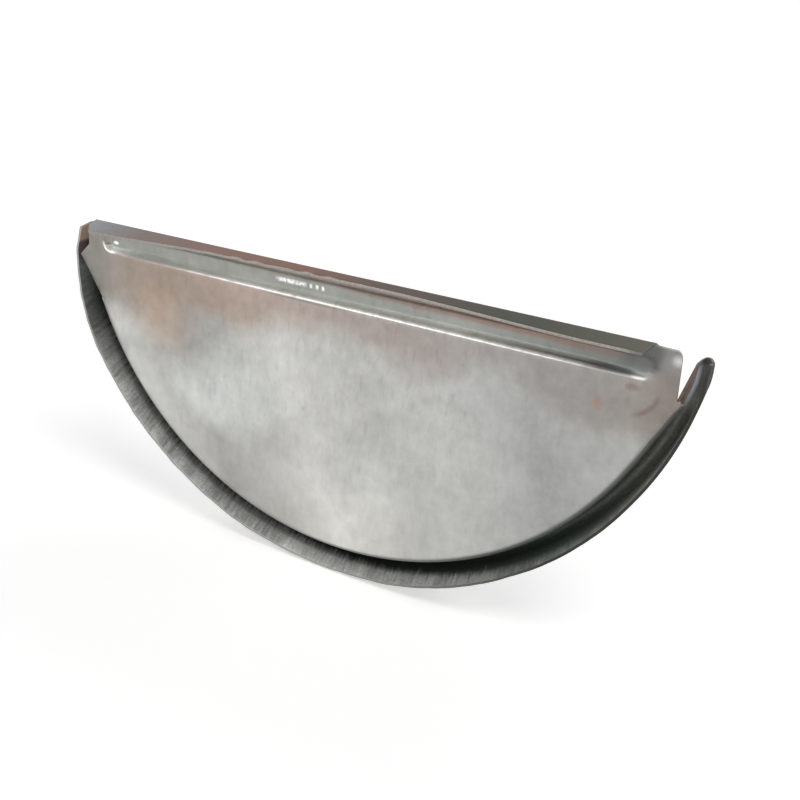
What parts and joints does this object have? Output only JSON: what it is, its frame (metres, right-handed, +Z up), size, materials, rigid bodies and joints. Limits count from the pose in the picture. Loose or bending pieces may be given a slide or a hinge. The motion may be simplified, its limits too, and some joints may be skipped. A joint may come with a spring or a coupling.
{
  "type": "gutter end cap",
  "caption": "Half-round gutter end cap folded from one galvanised sheet, with a rim groove for the gutter's end, a top flange and a pressed rib.",
  "frame": {"origin": "on the gutter's own axis, in the plane of the plate's inner face", "axes": "+Z up as installed, +Y out of the gutter's end, +X to the side with the slotted tab"},
  "size_m": [0.1581, 0.0159, 0.0745],
  "materials": {
    "galvanised_sheet": "zinc spangle, satin"
  },
  "bodies": {
    "root": {"end_cap": "galvanised_sheet"}
  },
  "joints": []
}
